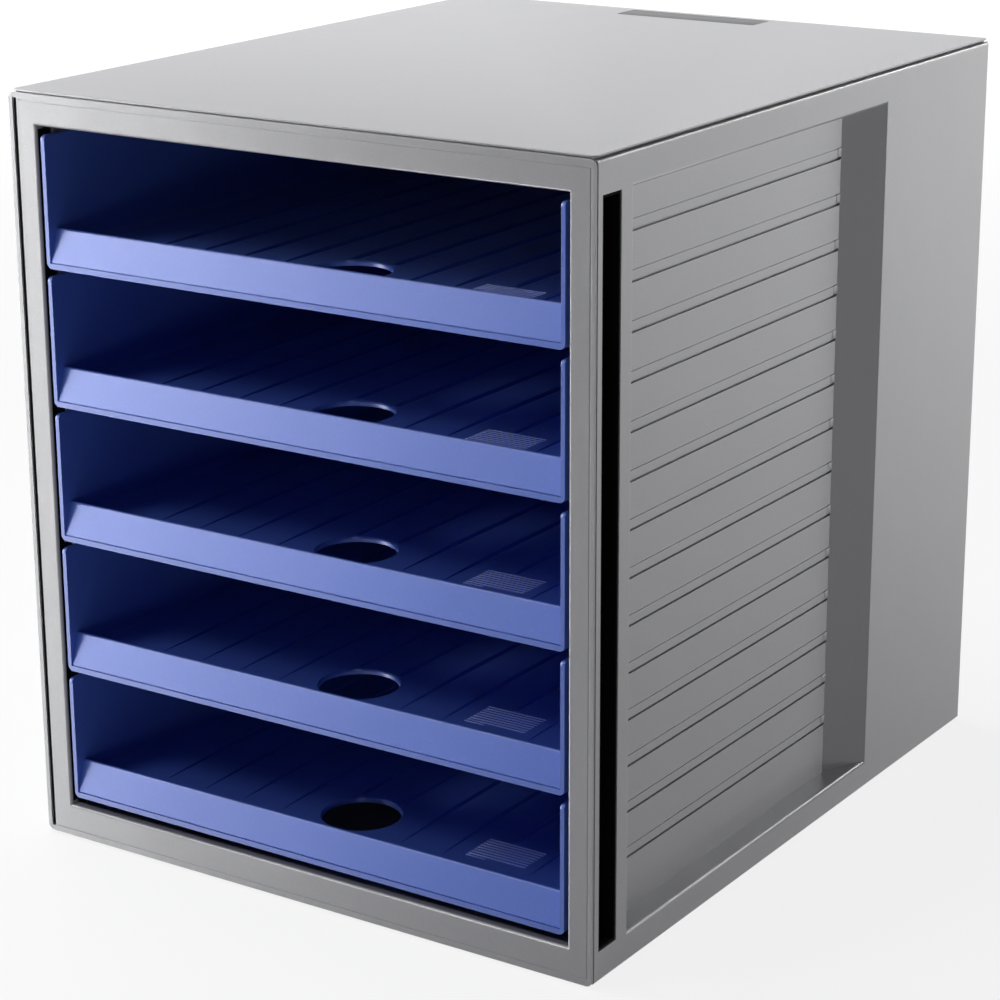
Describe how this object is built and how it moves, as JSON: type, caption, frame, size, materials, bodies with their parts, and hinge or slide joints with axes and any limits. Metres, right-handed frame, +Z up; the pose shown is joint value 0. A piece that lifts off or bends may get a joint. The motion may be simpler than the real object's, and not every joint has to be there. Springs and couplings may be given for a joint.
{
  "type": "desktop file drawer",
  "caption": "Free-standing desk organizer: a grey moulded housing with open drawers that slide out, each with a leaning front lip, a raised grooved floor and a finger hole.",
  "frame": {"origin": "on the table plane, at the centre of the housing's footprint", "axes": "+X to the right seen from the front, +Y to the rear, +Z up; the drawers open towards -Y"},
  "size_m": [0.275, 0.33, 0.321],
  "materials": {
    "housing": "fine-grained light grey moulded plastic",
    "drawers": "satin blue moulded plastic",
    "trim": "matte black plastic",
    "feet": "matte dark grey non-slip pad"
  },
  "bodies": {
    "housing": {"front_frame": "housing", "top_panel": "housing", "base_panel": "housing", "rear_panel": "housing", "left_side_cover": "housing", "right_side_cover": "housing", "left_runner_wall": "housing", "right_runner_wall": "housing", "left_groove_strip": "trim", "right_slot_strip": "trim", "foot_front_left": "feet", "foot_front_right": "feet", "foot_rear_left": "feet", "foot_rear_right": "feet"},
    "drawer_1": {"drawer_1": "drawers"},
    "drawer_2": {"drawer_2": "drawers"},
    "drawer_3": {"drawer_3": "drawers"},
    "drawer_4": {"drawer_4": "drawers"},
    "drawer_5": {"drawer_5": "drawers"}
  },
  "joints": [
    {"name": "drawer_1_slide", "type": "slide", "parent": "housing", "child": "drawer_1", "axis": [0, -1, 0], "range_m": [0, 0.23]},
    {"name": "drawer_2_slide", "type": "slide", "parent": "housing", "child": "drawer_2", "axis": [0, -1, 0], "range_m": [0, 0.23]},
    {"name": "drawer_3_slide", "type": "slide", "parent": "housing", "child": "drawer_3", "axis": [0, -1, 0], "range_m": [0, 0.23]},
    {"name": "drawer_4_slide", "type": "slide", "parent": "housing", "child": "drawer_4", "axis": [0, -1, 0], "range_m": [0, 0.23]},
    {"name": "drawer_5_slide", "type": "slide", "parent": "housing", "child": "drawer_5", "axis": [0, -1, 0], "range_m": [0, 0.23]}
  ]
}
